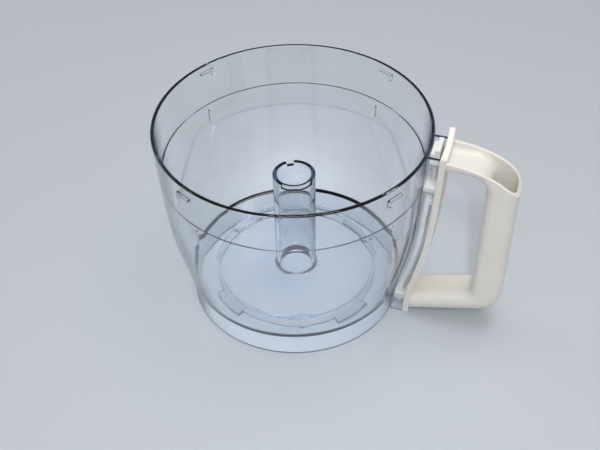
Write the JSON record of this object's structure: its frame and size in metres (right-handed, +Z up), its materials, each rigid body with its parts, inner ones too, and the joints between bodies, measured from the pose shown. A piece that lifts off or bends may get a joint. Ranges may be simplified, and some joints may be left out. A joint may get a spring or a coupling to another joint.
{
  "type": "food processor work bowl",
  "caption": "Clear tapered work bowl of a food processor with a centre tube, a white D-shaped handle and a sprung interlock rod inside the handle's channel.",
  "frame": {"origin": "on the bowl's axis, in the plane of the skirt's foot that it stands on", "axes": "+X from the axis towards the handle, +Z up along the centre tube, +Y completes the frame"},
  "size_m": [0.2475, 0.188, 0.1556],
  "materials": {
    "clear_plastic": "clear, polished",
    "white_plastic": "satin, slightly warm white",
    "guide_plastic": "matte natural white",
    "screw_steel": "zinc plated",
    "spring_steel": "drawn stainless wire"
  },
  "bodies": {
    "bowl": {"work_bowl": "clear_plastic", "channel_cover": "white_plastic", "handle_shell": "white_plastic", "handle_screws": "screw_steel", "upper_guide": "guide_plastic", "lower_guide": "guide_plastic", "return_spring": "spring_steel"},
    "rod": {"push_rod": "white_plastic", "actuator_head": "white_plastic", "retaining_clip": "spring_steel"}
  },
  "joints": [
    {"name": "rod_slide", "type": "slide", "parent": "bowl", "child": "rod", "axis": [0, 0, -1], "range_m": [0, 0.006], "stiffness_N_per_m": 250, "springref_m": -0.008, "deforming": ["return_spring"]}
  ]
}
